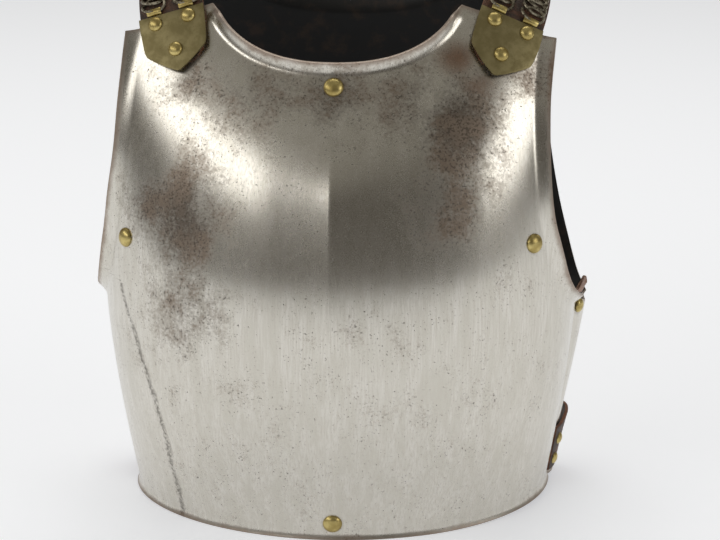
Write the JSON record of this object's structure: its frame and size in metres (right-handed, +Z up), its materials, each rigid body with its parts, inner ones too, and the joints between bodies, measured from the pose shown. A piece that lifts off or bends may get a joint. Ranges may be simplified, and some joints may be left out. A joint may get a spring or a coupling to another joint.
{
  "type": "cuirass",
  "caption": "Cavalry cuirass: bowed steel breastplate and backplate joined by leather shoulder straps with chain and brass end plates.",
  "frame": {"origin": "middle of the footprint, on the surface that the lower edges stand on", "axes": "+Z up, the breastplate faces -Y, +X is to the right of someone who looks at the breastplate"},
  "size_m": [0.4002, 0.2962, 0.4408],
  "materials": {
    "steel": "polished, worn, with brown pitting",
    "brass": "domed heads rubbed bright",
    "brass_plate": "dull, olive tarnish",
    "chain_steel": "tarnished wire",
    "leather": "dry, cracked, worn pale at the edges",
    "lining_leather": "undyed, rough"
  },
  "bodies": {
    "root": {"left_strap_leather": "leather", "left_strap_brass_plate": "brass_plate", "left_strap_rivet_inner": "brass", "left_strap_rivet_outer": "brass", "left_strap_rivet_lower": "brass", "left_strap_back_rivet_left": "brass", "left_strap_back_rivet_right": "brass", "left_strap_chain_left": "chain_steel", "left_strap_tab_front_left": "brass", "left_strap_tab_back_left": "brass", "left_strap_chain_right": "chain_steel", "left_strap_tab_front_right": "brass", "left_strap_tab_back_right": "brass", "right_strap_leather": "leather", "right_strap_brass_plate": "brass_plate", "right_strap_rivet_inner": "brass", "right_strap_rivet_outer": "brass", "right_strap_rivet_lower": "brass", "right_strap_back_rivet_left": "brass", "right_strap_back_rivet_right": "brass", "right_strap_chain_left": "chain_steel", "right_strap_tab_front_left": "brass", "right_strap_tab_back_left": "brass", "right_strap_chain_right": "chain_steel", "right_strap_tab_front_right": "brass", "right_strap_tab_back_right": "brass", "breast_rivet_neck": "brass", "breast_rivet_left": "brass", "breast_rivet_right": "brass", "breast_rivet_bottom": "brass", "back_rivet_neck": "brass", "back_rivet_bottom": "brass", "back_rivet_wing_left": "brass", "back_rivet_wing_right": "brass", "right_lining_tongue": "lining_leather", "left_belt_leather": "leather", "left_belt_rivet_upper": "brass", "left_belt_rivet_lower": "brass", "right_belt_leather": "leather", "right_belt_rivet_upper": "brass", "right_belt_rivet_lower": "brass", "breastplate": "steel", "backplate": "steel"}
  },
  "joints": []
}
